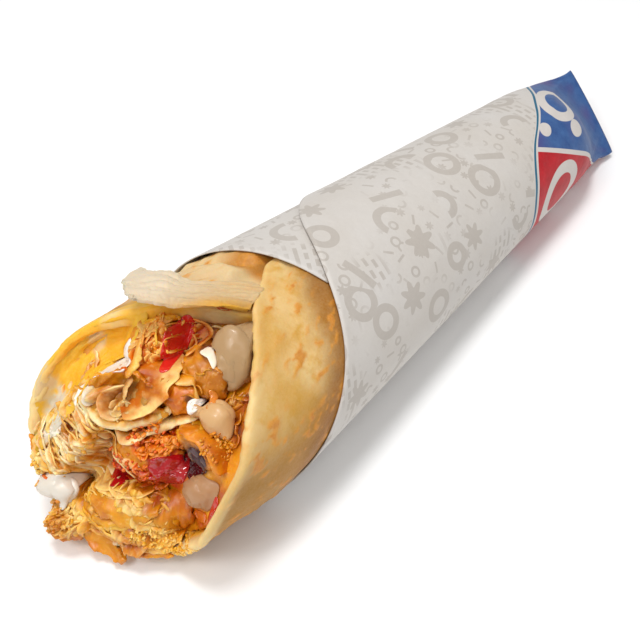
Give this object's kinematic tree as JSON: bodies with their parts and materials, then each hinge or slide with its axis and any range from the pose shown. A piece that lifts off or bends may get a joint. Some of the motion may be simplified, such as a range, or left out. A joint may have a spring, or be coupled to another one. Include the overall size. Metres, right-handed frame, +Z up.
{
  "type": "fried chicken wrap",
  "caption": "Open-ended flatbread wrap of crisp fried chicken with white and red sauces, rolled in a printed paper case with its tail folded flat.",
  "frame": {"origin": "centre of the bounding box's underside, on the floor the wrap lies on", "axes": "+Z up; +X along the roll from the open mouth to the folded paper tail; the mouth faces -X, -Y and up"},
  "size_m": [0.2612, 0.0692, 0.068],
  "materials": {
    "paper": "greaseproof paper, satin, light warm grey with a coloured print at the tail",
    "flatbread": "soft baked flatbread, cream with golden brown toasted spots",
    "chicken": "fried chicken in an orange sauce, satin",
    "crust": "crisp golden fried crust, rough",
    "white_sauce": "creamy white sauce, glossy",
    "red_sauce": "red chilli sauce, glossy"
  },
  "bodies": {
    "root": {"paper_sheet": "paper", "flatbread": "flatbread", "torn_tongue": "flatbread", "chicken_core": "chicken", "chicken_top": "chicken", "chicken_right": "chicken", "chicken_middle": "chicken", "chicken_arm": "crust", "chicken_sauced": "chicken", "chicken_lower": "chicken", "chicken_corner": "chicken", "layered_crust": "crust", "curled_crust": "crust", "white_sauce_corner": "white_sauce", "white_sauce_top": "white_sauce", "white_sauce_left": "white_sauce", "white_sauce_slice": "white_sauce", "white_sauce_right": "white_sauce", "white_sauce_lower": "white_sauce", "red_sauce_top": "red_sauce", "red_sauce_middle": "red_sauce", "red_sauce_left": "red_sauce"}
  },
  "joints": []
}
